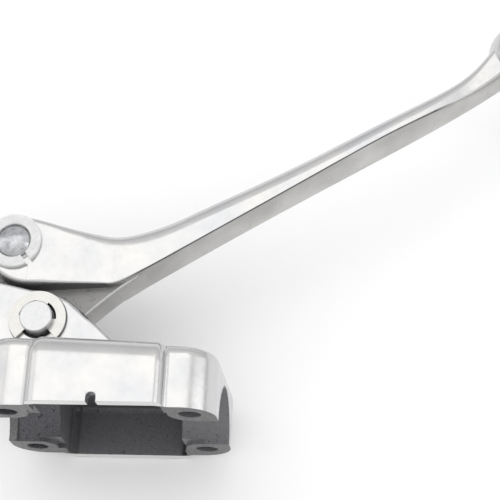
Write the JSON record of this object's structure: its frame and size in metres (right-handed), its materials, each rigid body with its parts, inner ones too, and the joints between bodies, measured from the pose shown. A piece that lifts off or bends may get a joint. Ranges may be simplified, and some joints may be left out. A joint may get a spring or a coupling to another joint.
{
  "type": "clutch lever",
  "caption": "Polished alloy clutch hand lever with ball end, pivoting in a bracket cast in one with the front half of a handlebar switch housing.",
  "frame": {"origin": "on the handlebar's axis, in the split plane, at the middle of the housing's length", "axes": "+X along the handlebar towards the lever's ball end, +Y forward away from the rider, +Z out of the face that carries the pivot clip, which faces down when the part is fitted on a left handlebar"},
  "size_m": [0.1966, 0.1314, 0.0624],
  "materials": {
    "cast_alloy": "polished outside, dark as cast inside",
    "polished_alloy": "polished, as cast on the web",
    "bronze": "plain bearing bronze",
    "pin_steel": "bright plated",
    "clip_steel": "bright plated spring steel",
    "anchor_steel": "bright plated",
    "nylon": "natural milky nylon"
  },
  "bodies": {
    "bracket": {"bracket_housing": "cast_alloy", "pivot_pin": "pin_steel", "pivot_clip": "clip_steel"},
    "lever": {"lever": "polished_alloy", "pivot_bush": "bronze", "anchor_bush_front": "nylon", "anchor_bush_rear": "nylon"},
    "anchor": {"anchor_pin": "anchor_steel"}
  },
  "joints": [
    {"name": "lever_pivot", "type": "hinge", "parent": "bracket", "child": "lever", "pos_m": [-0.0212, 0.0296, 0], "axis": [0, 0, 1], "range_deg": [-32, 0]},
    {"name": "anchor_turn", "type": "hinge", "parent": "lever", "child": "anchor", "pos_m": [-0.0308, 0.0539, 0], "axis": [0, 0, 1], "continuous": true}
  ]
}
